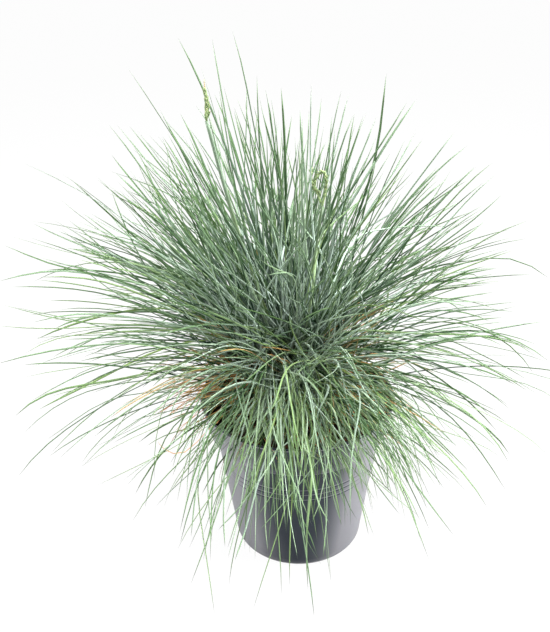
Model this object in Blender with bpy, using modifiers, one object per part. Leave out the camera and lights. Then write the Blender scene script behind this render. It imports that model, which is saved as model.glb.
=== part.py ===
"""Potted blue fescue clump: a round stepped pot, its soil, and a tussock of needle-like leaves.

Metres, +Z up. The origin is the centre of the pot's flat base, on the surface it stands on.
The clump is seen from the front along +Y.
"""

import math

import bmesh
import bpy
from mathutils import Vector, noise

# ---- pot ----
POT_HEIGHT = 0.145
RIM_RADIUS = 0.085
BASE_RADIUS = 0.058
BASE_FILLET = 0.004
COLLAR_HEIGHT = 0.030
COLLAR_FOOT_RADIUS = 0.0785
STEP_RADIUS = 0.0734
WALL = 0.0018
LIP = 0.0012
EDGE_CHAMFER = 0.0003
COLLAR_CHAMFER = 0.0006
FLOOR_THICKNESS = 0.0025
INNER_CORNER = 0.001
GROOVE_HEIGHTS = (0.0930, 0.0875, 0.0820)
GROOVE_DEPTH = 0.0006
GROOVE_HALF_WIDTH = 0.0008
POT_SIDES = 32
FACET_TURN = 2.8
DRAIN_HOLES = 6
DRAIN_RADIUS = 0.0045
DRAIN_CIRCLE_RADIUS = 0.040
DRAIN_FIRST_TURN = 37.0
DRAIN_SIDES = 8

# ---- clearance between touching pieces ----
GAP = 0.0003

# ---- soil and crown ----
SOIL_TOP = 0.133
SOIL_SIDES = 32
SOIL_RINGS = 5
SOIL_LUMP = 0.0016
SOIL_LUMPS_PER_METRE = 90.0
SOIL_FLAT_MARGIN = 0.003
SOIL_FLAT_FADE = 0.012
CROWN_CENTRE = (-0.006, 0.010)
CROWN_SPHERE_RADIUS = 0.042
CROWN_EDGE_TILT = 105.0
CROWN_SIDES = 18
CROWN_RINGS = 8

# ---- leaves: one at a tilt from upright, in degrees, droops by tilt * (PER_TILT + GROWTH * tilt) ----
HUB_RADIUS = 0.0031
HUB_LENGTH = 0.010
HUB_FOOT_SHARE = 0.8
DROOP_PER_TILT = 0.5
DROOP_GROWTH = 0.0025
LEAF_ROOT_SHARE = 0.86
LEAF_TAPER = 0.7
TUFT_LEAVES = 5
TUFT_SPREAD = 8.0
SPREAD_PER_ROOM = 0.42
FULL_HUB_ROOM = 15.0
TUFT_REACH = 0.208
TUFT_REACH_SHARES = (0.92, 1.08)
SIDE_LEAF_SHARES = (0.76, 0.96)
LEAST_TURN_BETWEEN_TUFTS = 18.0
LEAST_TURN_FROM_STEM = 12.0
FILL_DIRECTIONS = 66
MOST_TILT = 106.0
MOST_TUFTS = 52

# Tips of the leaves that stand out of the clump, one leading each of the first tufts
LEADER_TIPS = (
    (-0.043, 0.000, 0.442),
    (-0.090, 0.085, 0.432),
    (-0.120, 0.010, 0.418),
    (0.028, 0.100, 0.380),
    (0.071, 0.030, 0.407),
    (0.134, 0.100, 0.310),
    (0.166, 0.050, 0.332),
    (0.181, -0.010, 0.286),
    (0.233, 0.060, 0.221),
    (0.193, -0.080, 0.131),
    (0.132, -0.130, 0.123),
    (0.088, -0.200, 0.162),
    (0.001, -0.210, 0.107),
    (-0.063, -0.200, 0.102),
    (-0.126, -0.130, 0.120),
    (-0.224, -0.080, 0.123),
    (-0.242, 0.020, 0.169),
    (-0.257, 0.040, 0.241),
    (-0.184, -0.040, 0.224),
    (-0.161, -0.030, 0.316),
    (-0.205, 0.140, 0.225),
)

# ---- dry leaves: azimuth, length ----
DRY_BUNDLES = ((190.0, 0.078), (283.0, 0.056), (325.0, 0.062))
DRY_RISE = -9.0
DRY_SPREAD = 13.0
DRY_LEAVES = 4
DRY_LENGTH_STEP = 0.12
DRY_HUB_SHARE = 0.6

# ---- flower stems ----
STEM_RADIUS = 0.0010
PANICLE_RADIUS = 0.0020
STEM_TIP = (-0.061, -0.050, 0.416)
STEM_PANICLE_LENGTH = 0.027
BENT_STEM_TOP = (0.021, -0.040, 0.338)
BENT_HOOK_RADIUS = 0.0045
BENT_HOOK_TURN = 215.0
BENT_HOOK_STRETCH = 1.6
BENT_PANICLE_SHARE = 0.8
STEM_BOW = -0.004
STEM_POINTS = 8
STEM_SHEATH_SHARE = 1.7
PANICLE_RINGS = 10
PANICLE_WHORLS = 5
PANICLE_SWELL = 0.16
PANICLE_END = 0.97

MERGE = 0.00005


def material(name, color, roughness):
    """A Principled material with one colour and roughness."""
    made = bpy.data.materials.new(name)
    made.use_nodes = True
    shader = made.node_tree.nodes["Principled BSDF"]
    shader.inputs["Base Color"].default_value = (*color, 1.0)
    shader.inputs["Roughness"].default_value = roughness
    made.diffuse_color = (*color, 1.0)
    return made


def clear_scene():
    """Removes every object, so that the file gives the same result each time."""
    for obj in list(bpy.data.objects):
        bpy.data.objects.remove(obj, do_unlink=True)


def add_collection(name, hidden=False):
    """A collection in the scene; a hidden one holds cutters."""
    made = bpy.data.collections.new(name)
    made.hide_render = hidden
    bpy.context.scene.collection.children.link(made)
    return made


def add_object(name, data, collection, look=None):
    """Links an object for this data and gives it its material."""
    obj = bpy.data.objects.new(name, data)
    collection.objects.link(obj)
    if look is not None:
        data.materials.append(look)
    return obj


def mesh_object(name, bm, collection, look):
    """Turns a bmesh into a named object, its faces pointing out."""
    bmesh.ops.recalc_face_normals(bm, faces=bm.faces)
    mesh = bpy.data.meshes.new(name)
    bm.to_mesh(mesh)
    bm.free()
    mesh.shade_smooth()
    mesh.set_sharp_from_angle(angle=math.radians(40.0))
    return add_object(name, mesh, collection, look)


def turned(name, profile, sides, collection, look):
    """Turns a profile of (radius, height) points about Z with a Screw modifier."""
    mesh = bpy.data.meshes.new(name)
    points = [(radius, 0.0, height) for radius, height in profile]
    mesh.from_pydata(points, [(i, i + 1) for i in range(len(points) - 1)], [])
    obj = add_object(name, mesh, collection, look)
    screw = obj.modifiers.new("Turn", "SCREW")
    screw.steps = sides
    screw.render_steps = sides
    screw.use_merge_vertices = True
    screw.merge_threshold = MERGE
    return obj


# ---- pot ----


def wall_radius(height):
    """Outer radius of the pot's tapered body at a height."""
    share = height / (POT_HEIGHT - COLLAR_HEIGHT)
    return BASE_RADIUS + (STEP_RADIUS - BASE_RADIUS) * share


def collar_radius(height):
    """Outer radius of the collar at a height."""
    share = (height - (POT_HEIGHT - COLLAR_HEIGHT)) / COLLAR_HEIGHT
    return COLLAR_FOOT_RADIUS + (RIM_RADIUS - COLLAR_FOOT_RADIUS) * share


def pot_profile():
    """Outer side from the rim down, across the base, and up inside to the rim's inner edge."""
    step = POT_HEIGHT - COLLAR_HEIGHT
    points = [(RIM_RADIUS - LIP, POT_HEIGHT), (RIM_RADIUS - EDGE_CHAMFER, POT_HEIGHT - EDGE_CHAMFER)]
    points.append((collar_radius(POT_HEIGHT - LIP), POT_HEIGHT - LIP))
    points.append((COLLAR_FOOT_RADIUS, step + COLLAR_CHAMFER))
    points.append((COLLAR_FOOT_RADIUS - COLLAR_CHAMFER, step))
    points.append((STEP_RADIUS, step))
    for height in GROOVE_HEIGHTS:
        points.append((wall_radius(height + GROOVE_HALF_WIDTH), height + GROOVE_HALF_WIDTH))
        points.append((wall_radius(height) - GROOVE_DEPTH, height))
        points.append((wall_radius(height - GROOVE_HALF_WIDTH), height - GROOVE_HALF_WIDTH))
    corner = wall_radius(0.0)
    for turn in (0.0, 45.0, 90.0):
        sine = math.sin(math.radians(turn))
        cosine = math.cos(math.radians(turn))
        points.append((corner - BASE_FILLET * (1 - cosine), BASE_FILLET * (1 - sine)))
    points.append((0.0, 0.0))
    points.append((0.0, FLOOR_THICKNESS))
    points.append((wall_radius(FLOOR_THICKNESS) - WALL - INNER_CORNER, FLOOR_THICKNESS))
    points.append((wall_radius(step) - WALL, step - WALL))
    points.append((COLLAR_FOOT_RADIUS - WALL, step + WALL))
    points.append((RIM_RADIUS - WALL - EDGE_CHAMFER, POT_HEIGHT - EDGE_CHAMFER))
    points.append(points[0])
    return points


def build_pot(collection, cutters, look):
    """The moulded pot with its drain holes cut through the floor."""
    pot = turned("pot", pot_profile(), POT_SIDES, collection, look)
    pot.rotation_euler.z = math.radians(FACET_TURN)
    weld = pot.modifiers.new("Close", "WELD")
    weld.merge_threshold = MERGE
    for index in range(DRAIN_HOLES):
        turn = math.radians(DRAIN_FIRST_TURN + 360.0 * index / DRAIN_HOLES)
        bm = bmesh.new()
        bmesh.ops.create_cone(
            bm, cap_ends=True, segments=DRAIN_SIDES, radius1=DRAIN_RADIUS, radius2=DRAIN_RADIUS,
            depth=FLOOR_THICKNESS * 4,
        )
        cutter = mesh_object(f"drain_cutter_{index + 1}", bm, cutters, look)
        cutter.location = (DRAIN_CIRCLE_RADIUS * math.cos(turn), DRAIN_CIRCLE_RADIUS * math.sin(turn), 0.0)
        cutter.hide_render = True
        cutter.display_type = "WIRE"
        cut = pot.modifiers.new(f"Drain {index + 1}", "BOOLEAN")
        cut.operation = "DIFFERENCE"
        cut.solver = "EXACT"
        cut.object = cutter
    return pot


# ---- soil and crown ----


def crown_base():
    """Height of the crown's flat underside."""
    return SOIL_TOP + GAP


def sphere_centre():
    """Centre of the sphere that the crown is a cap of."""
    drop = CROWN_SPHERE_RADIUS * math.cos(math.radians(CROWN_EDGE_TILT))
    return Vector((*CROWN_CENTRE, crown_base() - drop))


def build_soil(collection, look):
    """The fill of the pot: a tapered plug, its top inset ring by ring and raised in small lumps."""
    low = FLOOR_THICKNESS + GAP
    corner = wall_radius(low) - WALL - INNER_CORNER - 2 * GAP
    top_radius = collar_radius(SOIL_TOP) - WALL - 3 * GAP
    step = POT_HEIGHT - COLLAR_HEIGHT - WALL
    bm = bmesh.new()
    shoulder = wall_radius(step) - WALL - 3 * GAP
    body = bmesh.ops.create_cone(
        bm, cap_ends=True, segments=SOIL_SIDES, radius1=corner, radius2=shoulder, depth=step - low
    )
    bmesh.ops.translate(bm, verts=body["verts"], vec=(0.0, 0.0, (step + low) / 2))
    top = max(bm.faces, key=lambda face: face.calc_center_median().z)
    for radius, height in ((COLLAR_FOOT_RADIUS - WALL - 3 * GAP, step + 2 * WALL), (top_radius, SOIL_TOP)):
        top = bmesh.ops.extrude_discrete_faces(bm, faces=[top])["faces"][0]
        for vert in top.verts:
            across = Vector((vert.co.x, vert.co.y, 0.0)).normalized() * radius
            vert.co = Vector((across.x, across.y, height))
    ring_width = top_radius / (SOIL_RINGS + 0.5)
    surface = set()
    for _ in range(SOIL_RINGS):
        bmesh.ops.inset_individual(bm, faces=[top], thickness=ring_width)
        surface.update(top.verts)
    centre = bmesh.ops.poke(bm, faces=[top])["verts"][0]
    surface.add(centre)
    for vert in surface:
        away = (vert.co.xy - Vector(CROWN_CENTRE)).length
        clear = CROWN_SPHERE_RADIUS + SOIL_FLAT_MARGIN
        rise = min(max((away - clear) / SOIL_FLAT_FADE, 0.0), 1.0)
        vert.co.z += SOIL_LUMP * rise * noise.noise(vert.co * SOIL_LUMPS_PER_METRE)
    soil = mesh_object("potting_soil", bm, collection, look)
    soil.rotation_euler.z = math.radians(FACET_TURN)
    return soil


def build_crown(collection, look):
    """The tussock base: a ball of packed shoots, cut off flat on the soil."""
    centre = sphere_centre()
    profile = []
    for index in range(CROWN_RINGS + 1):
        tilt = math.radians(CROWN_EDGE_TILT * index / CROWN_RINGS)
        profile.append((CROWN_SPHERE_RADIUS * math.sin(tilt), CROWN_SPHERE_RADIUS * math.cos(tilt)))
    profile.append((0.0, profile[-1][1]))
    crown = turned("crown", profile, CROWN_SIDES, collection, look)
    crown.location = centre
    return crown


# ---- leaves ----


def heading(azimuth, rise):
    """Unit vector at an azimuth from +X towards +Y and a rise above level, both in degrees."""
    turn = math.radians(azimuth)
    lift = math.radians(rise)
    return Vector((math.cos(turn) * math.cos(lift), math.sin(turn) * math.cos(lift), math.sin(lift)))


def azimuth_and_rise(direction):
    """The azimuth and the rise of a direction, in degrees."""
    level = math.hypot(direction.x, direction.y)
    return math.degrees(math.atan2(direction.y, direction.x)), math.degrees(math.atan2(direction.z, level))


def bend(rise):
    """Lift at the root and total droop of a leaf whose root and tip are joined by a line of this rise."""
    tilt = 90.0 - rise
    droop = tilt * (DROOP_PER_TILT + DROOP_GROWTH * tilt)
    return rise + droop / 2, droop


def root_on_crown(azimuth, lift, clear):
    """A point outside the crown from which a leaf leaves it square to the surface."""
    return sphere_centre() + heading(azimuth, lift) * (CROWN_SPHERE_RADIUS + clear)


def aim_at(tip):
    """Azimuth, rise and length of the leaf that leaves the crown square to it and ends at the tip."""
    centre = sphere_centre()
    azimuth, rise = azimuth_and_rise(tip - centre)
    for _ in range(12):
        lift, droop = bend(rise)
        chord = tip - root_on_crown(azimuth, lift, HUB_LENGTH)
        azimuth, rise = azimuth_and_rise(chord)
    half = math.radians(droop / 2)
    return azimuth, rise, chord.length * half / math.sin(half)


def leaf_line(start, azimuth, rise, length):
    """Centreline points and headings of a leaf that bends down evenly on its way to the tip."""
    lift, droop = bend(rise)
    steps = 3 if droop < 15.0 else 4 if droop < 64.0 else 5
    points = [start]
    headings = [heading(azimuth, lift)]
    for index in range(steps):
        middle = lift - droop * (index + 0.5) / steps
        points.append(points[-1] + heading(azimuth, middle) * length / steps)
        headings.append(heading(azimuth, lift - droop * (index + 1) / steps))
    return points, headings


def grow_leaf(bm, root, azimuth, rise, length):
    """Extrudes a root facet along a leaf's centreline, thinner at each step, and closes it in a point."""
    points, headings = leaf_line(root.calc_center_median(), azimuth, rise, length)
    last = len(points) - 1
    before = root.normal.copy()
    size = 1.0
    face = root
    for index in range(1, last + 1):
        face = bmesh.ops.extrude_discrete_faces(bm, faces=[face])["faces"][0]
        if index == last:
            bmesh.ops.pointmerge(bm, verts=list(face.verts), merge_co=points[index])
            break
        turn = before.rotation_difference(headings[index])
        before = headings[index]
        share = LEAF_ROOT_SHARE * (1.0 - LEAF_TAPER * index / last) / size
        size *= share
        for vert in face.verts:
            vert.co = points[index] + turn @ ((vert.co - points[index - 1]) * share)


def build_tuft(name, azimuth, rise, lengths, spread, hub_radius, collection, look):
    """A shoot: a short sheath on the crown whose top facets grow into leaves that spread as they go.

    The first leaf keeps the tuft's own direction; the others lean away from it by the spread.
    """
    lift, _ = bend(rise)
    out = heading(azimuth, lift)
    bm = bmesh.new()
    bmesh.ops.create_cone(
        bm, cap_ends=True, cap_tris=True, segments=len(lengths),
        radius1=hub_radius * HUB_FOOT_SHARE, radius2=hub_radius, depth=HUB_LENGTH,
    )
    frame = out.to_track_quat("Z", "Y")
    for vert in bm.verts:
        vert.co = frame @ (vert.co + Vector((0.0, 0.0, HUB_LENGTH / 2)))
    bmesh.ops.recalc_face_normals(bm, faces=bm.faces)
    tops = [face for face in bm.faces if face.normal.dot(out) > 0.9]
    mean = heading(azimuth, rise)
    side = mean.cross(Vector((0.0, 0.0, 1.0))).normalized()
    above = side.cross(mean)
    middle = out * HUB_LENGTH
    tops.sort(key=lambda face: facet_turn(face, middle, side, above))
    for index, face in enumerate(tops):
        towards = mean
        if index:
            turn = math.radians(facet_turn(face, middle, side, above))
            lean = (side * math.cos(turn) + above * math.sin(turn)) * math.tan(math.radians(spread))
            towards = (mean + lean).normalized()
        grow_leaf(bm, face, *azimuth_and_rise(towards), lengths[index])
    tuft = mesh_object(name, bm, collection, look)
    tuft.location = root_on_crown(azimuth, lift, GAP * 1.5)
    return tuft


def facet_turn(face, middle, side, above):
    """The angle of a facet round its hub, in degrees."""
    away = face.calc_center_median() - middle
    return math.degrees(math.atan2(away.dot(above), away.dot(side)))


def scatter(number, low, high):
    """An irregular value between low and high that is always the same for a whole number."""
    return low + (high - low) * (math.sin(number * 12.9898) * 43758.5453 % 1.0)


def stem_directions():
    """Azimuth and rise of both flower stems and the dry bundles, which the tufts keep clear of."""
    found = [azimuth_and_rise(Vector(tip) - sphere_centre()) for tip in (STEM_TIP, BENT_STEM_TOP)]
    return found + [(azimuth, DRY_RISE) for azimuth, _ in DRY_BUNDLES]


def nearest_turn(azimuth, rise, others):
    """The angle between a direction and the nearest of the others, in degrees."""
    towards = heading(azimuth, rise)
    return min(math.degrees(towards.angle(heading(other[0], other[1]))) for other in others)


def tuft_directions():
    """Azimuth, rise and length of each tuft: the leaders' first, then others where there is room."""
    found = [aim_at(Vector(tip)) for tip in LEADER_TIPS]
    golden = 180.0 * (3.0 - math.sqrt(5.0))
    for index in range(FILL_DIRECTIONS):
        share = (index + 0.5) / FILL_DIRECTIONS
        rise = 90.0 - math.degrees(math.acos(1 - share * (1 - math.cos(math.radians(MOST_TILT)))))
        azimuth = golden * index
        if nearest_turn(azimuth, rise, found) < LEAST_TURN_BETWEEN_TUFTS:
            continue
        if nearest_turn(azimuth, rise, stem_directions()) < LEAST_TURN_FROM_STEM:
            continue
        found.append((azimuth, rise, TUFT_REACH * scatter(index + 3, *TUFT_REACH_SHARES)))
    return found[:MOST_TUFTS]


def build_leaves(collection, look):
    """Every tuft of living leaves as its own object, narrower where it stands close to another."""
    tufts = tuft_directions()
    longest = TUFT_REACH * max(TUFT_REACH_SHARES)
    for number, (azimuth, rise, length) in enumerate(tufts, start=1):
        others = tufts[:number - 1] + tufts[number:] + stem_directions()
        room = nearest_turn(azimuth, rise, others)
        lengths = [length]
        for leaf in range(1, TUFT_LEAVES):
            share = scatter(number * 7 + leaf, *SIDE_LEAF_SHARES)
            lengths.append(min(length, longest) * share)
        build_tuft(
            f"leaf_tuft_{number:02d}", azimuth, rise, lengths, min(TUFT_SPREAD, room * SPREAD_PER_ROOM),
            HUB_RADIUS * min(1.0, room / FULL_HUB_ROOM), collection, look,
        )


def build_dry_leaves(collection, look):
    """Small bundles of dead leaves low on the crown."""
    for number, (azimuth, length) in enumerate(DRY_BUNDLES, start=1):
        lengths = [length * (1.0 - DRY_LENGTH_STEP * leaf) for leaf in range(DRY_LEAVES)]
        build_tuft(
            f"dry_leaves_{number}", azimuth, DRY_RISE, lengths, DRY_SPREAD, HUB_RADIUS * DRY_HUB_SHARE,
            collection, look,
        )


# ---- flower stems ----


def tube(name, points, radii, collection, look):
    """A round stem whose radius follows the list, as a bevelled curve with closed ends."""
    curve = bpy.data.curves.new(name, "CURVE")
    curve.dimensions = "3D"
    curve.bevel_depth = 1.0
    curve.bevel_resolution = 1
    curve.use_fill_caps = True
    spline = curve.splines.new("POLY")
    spline.points.add(len(points) - 1)
    for spot, point, radius in zip(spline.points, points, radii):
        spot.co = (*point, 1.0)
        spot.radius = radius
    stem = add_object(name, curve, collection, look)
    weld = stem.modifiers.new("Close", "WELD")
    weld.merge_threshold = MERGE
    return stem


def panicle_radius(share):
    """Radius of the panicle along its length: a spindle that swells with each whorl of spikelets."""
    whorl = 1.0 - PANICLE_SWELL + PANICLE_SWELL * math.sin(share * PANICLE_WHORLS * 2 * math.pi)
    return STEM_RADIUS * 0.5 + PANICLE_RADIUS * math.sin(math.pi * share ** 0.7) ** 0.8 * whorl


def culm(tip, top, bow):
    """Points of a stem that leaves the crown towards its tip and bows to one side on the way to its top."""
    azimuth, rise = azimuth_and_rise(tip - sphere_centre())
    root = root_on_crown(azimuth, bend(rise)[0], GAP * 3)
    points = []
    for index in range(STEM_POINTS):
        share = index / (STEM_POINTS - 1)
        points.append(root.lerp(top, share) + Vector((bow, 0.0, 0.0)) * math.sin(math.pi * share))
    return points


def build_flower_stem(collection, look):
    """The upright culm that ends in a narrow panicle."""
    tip = Vector(STEM_TIP)
    neck = tip - Vector((0.0, 0.0, STEM_PANICLE_LENGTH))
    points = culm(tip, neck, STEM_BOW)
    radii = [STEM_RADIUS * STEM_SHEATH_SHARE for _ in points]
    for index in range(1, PANICLE_RINGS + 1):
        share = index / PANICLE_RINGS
        points.append(neck.lerp(tip, share))
        radii.append(panicle_radius(share * PANICLE_END))
    return tube("flower_stem", points, radii, collection, look)


def build_bent_flower_stem(collection, look):
    """The shorter culm whose panicle curls over and hangs back."""
    top = Vector(BENT_STEM_TOP)
    points = culm(top, top, -STEM_BOW)
    radii = [STEM_RADIUS for _ in points]
    for index in range(1, PANICLE_RINGS + 1):
        turn = math.radians(BENT_HOOK_TURN * index / PANICLE_RINGS)
        across = -BENT_HOOK_RADIUS * (1 - math.cos(turn))
        points.append(top + Vector((across, 0.0, BENT_HOOK_RADIUS * BENT_HOOK_STRETCH * math.sin(turn))))
        radii.append(panicle_radius(PANICLE_END * index / PANICLE_RINGS) * BENT_PANICLE_SHARE)
    return tube("flower_stem_bent", points, radii, collection, look)


def main():
    clear_scene()
    clump = add_collection("potted_blue_fescue_clump")
    cutters = add_collection("cutters", hidden=True)
    pot_look = material("pot_plastic", (0.062, 0.072, 0.098), 0.42)
    soil_look = material("potting_soil", (0.022, 0.015, 0.011), 0.95)
    crown_look = material("crown_sheaths", (0.20, 0.22, 0.12), 0.8)
    leaf_look = material("blue_leaves", (0.25, 0.42, 0.34), 0.55)
    dry_look = material("dry_leaves", (0.55, 0.27, 0.11), 0.8)
    flower_look = material("flower_stems", (0.36, 0.48, 0.20), 0.6)
    build_pot(clump, cutters, pot_look)
    build_soil(clump, soil_look)
    build_crown(clump, crown_look)
    build_leaves(clump, leaf_look)
    build_dry_leaves(clump, dry_look)
    build_flower_stem(clump, flower_look)
    build_bent_flower_stem(clump, flower_look)


main()
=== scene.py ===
import bpy
import numpy as np
from mathutils import Matrix


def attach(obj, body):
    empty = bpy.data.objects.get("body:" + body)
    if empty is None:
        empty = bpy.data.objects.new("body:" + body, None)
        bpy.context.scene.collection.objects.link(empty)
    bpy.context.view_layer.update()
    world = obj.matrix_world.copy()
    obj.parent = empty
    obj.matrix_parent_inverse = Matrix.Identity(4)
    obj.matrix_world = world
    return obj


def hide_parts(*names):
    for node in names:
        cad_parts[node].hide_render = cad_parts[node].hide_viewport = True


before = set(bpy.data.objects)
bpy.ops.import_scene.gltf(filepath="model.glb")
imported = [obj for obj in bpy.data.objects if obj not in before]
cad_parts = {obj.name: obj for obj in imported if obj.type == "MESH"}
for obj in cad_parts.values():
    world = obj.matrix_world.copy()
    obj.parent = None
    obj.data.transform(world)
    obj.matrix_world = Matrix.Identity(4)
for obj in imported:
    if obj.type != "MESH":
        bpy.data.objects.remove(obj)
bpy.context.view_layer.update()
print("frame loaded,", len(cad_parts), "nodes")

picture = {
    "width": 550, "height": 632,
    "focalPixels": 712.7,      # 46.65 mm on a 36 mm wide picture
    "place": (-0.01794, -0.53656, 0.47636),
    "downwards": 25.55,        # degrees below level, looking along +Y
    "roll": -1.36,
}
pictureMiddle = np.array([picture["width"], picture["height"]]) / 2


def joined(*numbers):
    # arrays or numbers that fit each other, side by side along a new last axis
    return np.stack(np.broadcast_arrays(*numbers), -1)


def cameraAxes():
    # forward, right and up of the camera: level axes pitched down, then rolled about forward
    pitch, roll = np.radians([picture["downwards"], picture["roll"]])
    forward = np.array([0.0, np.cos(pitch), -np.sin(pitch)])
    across, over = np.array([1.0, 0.0, 0.0]), np.array([0.0, np.sin(pitch), np.cos(pitch)])
    return forward, np.cos(roll) * across + np.sin(roll) * over, np.cos(roll) * over - np.sin(roll) * across


def spotAtDepth(spots):
    # spots are picture x, picture y and depth: each pixel's ray is followed to the plane y = depth
    forward, right, up = cameraAxes()
    across, down = (spots[:, :2] - pictureMiddle).T[..., None] / picture["focalPixels"]
    rays = forward + across * right - down * up
    return picture["place"] + rays * ((spots[:, 2:3] - picture["place"][1]) / rays[:, 1:2])


def pictureSpot(points):
    # picture x and y of points in space
    forward, right, up = cameraAxes()
    offset = points - picture["place"]
    scale = picture["focalPixels"] / (offset @ forward)
    return pictureMiddle + joined(scale * (offset @ right), -scale * (offset @ up))


def standing(place, right, up, away):
    # matrix of a camera or lamp at a place, from its own three axes
    return Matrix.Translation(place) @ Matrix((right, up, away)).transposed().to_4x4()


def sceneObject(name, data):
    made = bpy.data.objects.new(name, data)
    bpy.context.scene.collection.objects.link(made)
    return made


def makeCamera():
    forward, right, up = cameraAxes()
    data = bpy.data.cameras.new("camera")
    data.sensor_fit = "HORIZONTAL"
    data.sensor_width = 36.0
    data.lens = data.sensor_width * picture["focalPixels"] / picture["width"]
    data.clip_start = 0.01
    camera = sceneObject("camera", data)
    camera.matrix_world = standing(picture["place"], right, up, -forward)
    bpy.context.scene.camera = camera


# surfaces are worked out as whole arrays; a part is (verts, quads, tris, values)
dice = np.random.default_rng(11)
between = dice.uniform


def scatter(size, shape):
    # normally distributed numbers of this size about 0
    return dice.normal(0, size, shape)


def unit(vectors):
    # vectors divided by their lengths
    return vectors / np.maximum(np.linalg.norm(vectors, axis=-1, keepdims=True), 1e-12)


def headings(azimuth, rise):
    # unit vectors (cos a cos r, sin a cos r, sin r) for azimuth a from +X to +Y and rise r, in radians
    return joined(np.cos(azimuth) * np.cos(rise), np.sin(azimuth) * np.cos(rise), np.sin(rise))


def bearing(vectors):
    # azimuth and rise of vectors, the other way round
    x, y, z = np.moveaxis(vectors, -1, 0)
    return np.arctan2(y, x), np.arctan2(z, np.hypot(x, y))


def middles(steps):
    # the middle of each of so many equal steps from 0 to 1
    return (np.arange(steps) + 0.5) / steps


def meshPiece(name, parts, material, slot, *nodes):
    # one mesh from several parts, their faces renumbered, with a float attribute for each named value
    offsets = np.cumsum([0] + [len(part[0]) for part in parts])
    verts = np.concatenate([part[0] for part in parts])
    quads = np.concatenate([part[1] + start for part, start in zip(parts, offsets)])
    tris = np.concatenate([part[2] + start for part, start in zip(parts, offsets)])
    mesh = bpy.data.meshes.new(name)
    mesh.from_pydata(verts, [], quads.tolist() + tris.tolist())
    for key in parts[0][3]:
        numbers = np.concatenate([part[3][key] for part in parts])
        layer = mesh.attributes.new(key, "FLOAT", "POINT")
        layer.data.foreach_set("value", np.ascontiguousarray(numbers, np.float32))
    mesh.shade_smooth()
    mesh.materials.append(material)
    piece = sceneObject(name, mesh)
    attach(piece, "root")
    if nodes:
        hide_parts(*nodes)
    return piece


def tubeMesh(rings, starts, ends, values):
    # rings[tube, ring, point] run counter-clockwise about each path, and both its ends close on one point;
    # values hold a number for each of them, or can be spread over them
    tubes, along, around = rings.shape[:3]
    here = np.arange(tubes * along * around).reshape(tubes, along, around)
    beside = np.roll(here, -1, axis=2)
    quads = joined(here[:, :-1], beside[:, :-1], beside[:, 1:], here[:, 1:]).reshape(-1, 4)
    first = here.size + np.arange(tubes)[:, None]
    low = joined(first, beside[:, 0], here[:, 0]).reshape(-1, 3)
    high = joined(first + tubes, here[:, -1], beside[:, -1]).reshape(-1, 3)
    verts = np.concatenate([rings.reshape(-1, 3), starts, ends])
    spread = {}
    for key, numbers in values.items():
        numbers = np.broadcast_to(numbers, rings.shape[:3])
        spread[key] = np.concatenate([numbers.ravel(), numbers[:, 0].mean(1), numbers[:, -1].mean(1)])
    return verts, quads, np.concatenate([low, high]), spread


def curvedPaths(start, target, fall, turn):
    # a path from start to target in equal steps: step i rises at lift - fall[i] and heads for
    # azimuth + turn[i]; lift, azimuth and length are corrected until the sum of the steps ends at the target
    chord = np.linalg.norm(target - start, axis=1)
    chordAzimuth, chordRise = bearing(target - start)
    azimuth, lift = chordAzimuth - turn.mean(1), chordRise + fall.mean(1)
    length, steps = chord * 1.03, fall.shape[1]
    for _ in range(8):
        moves = headings(azimuth[:, None] + turn, lift[:, None] - fall) * (length / steps)[:, None, None]
        end = moves.sum(1)
        endAzimuth, endRise = bearing(end)
        lift += chordRise - endRise
        azimuth += np.angle(np.exp(1j * (chordAzimuth - endAzimuth)))
        length *= chord / np.linalg.norm(end, axis=1)
    return np.concatenate([start[:, None], start[:, None] + np.cumsum(moves, axis=1)], axis=1)


def sweep(paths, widths, section, twist=np.zeros((1, 1))):
    # rings p + w (a side + b over): side starts level, square to the path, and is carried along it without
    # turning; over is the path x side, and both turn about the path by twist; (a, b) run round the section
    ahead = unit(np.gradient(paths, axis=1))
    carried = headings(bearing(ahead[:, 0])[0] + np.pi / 2, 0)
    side = np.empty_like(ahead)
    for step in range(paths.shape[1]):
        carried = unit(carried - (carried * ahead[:, step]).sum(-1, keepdims=True) * ahead[:, step])
        side[:, step] = carried
    over = np.cross(ahead, side)
    cos, sin = np.cos(twist)[..., None], np.sin(twist)[..., None]
    sideTurned, overTurned = cos * side + sin * over, cos * over - sin * side
    across = sideTurned[:, :, None] * section[:, 0, None] + overTurned[:, :, None] * section[:, 1, None]
    return paths[:, :, None] + widths[..., None, None] * across


def blades(paths, values, *shape):
    # tubes swept along the paths, all but their last point, and closed on both ends of each
    return tubeMesh(sweep(paths[:, :-1], *shape), paths[:, 0], paths[:, -1], values)


def smoothLine(spots, count):
    # Catmull-Rom curve by (2b + (c - a) t + (2a - 5b + 4c - d) t^2 + (3b - a - 3c + d) t^3) / 2
    spots = np.concatenate([2 * spots[:1] - spots[1:2], spots, 2 * spots[-1:] - spots[-2:-1]])
    at = np.linspace(0, len(spots) - 3, count)
    index = np.minimum(at.astype(int), len(spots) - 4)
    t = (at - index)[:, None]
    a, b, c, d = (spots[index + step] for step in range(4))
    return (2 * b + (c - a) * t + (2 * a - 5 * b + 4 * c - d) * t ** 2 + (3 * b - a - 3 * c + d) * t ** 3) / 2


def roundSection(points):
    # a circle of radius 1 in that many points
    turn = np.arange(points) * 2 * np.pi / points
    return joined(np.cos(turn), np.sin(turn))


def turnedRings(profile, sides):
    # rings (r cos t, r sin t, z) of a profile turned about Z
    circle = roundSection(sides)
    return joined(profile[:, 0:1] * circle[:, 0], profile[:, 0:1] * circle[:, 1], profile[:, 1:2])[None]


def addNode(tree, kind, **settings):
    node = tree.nodes.new(kind)
    for key, value in settings.items():
        if key in node.inputs:
            node.inputs[key].default_value = value
        else:
            setattr(node, key, value)
    return node


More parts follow.
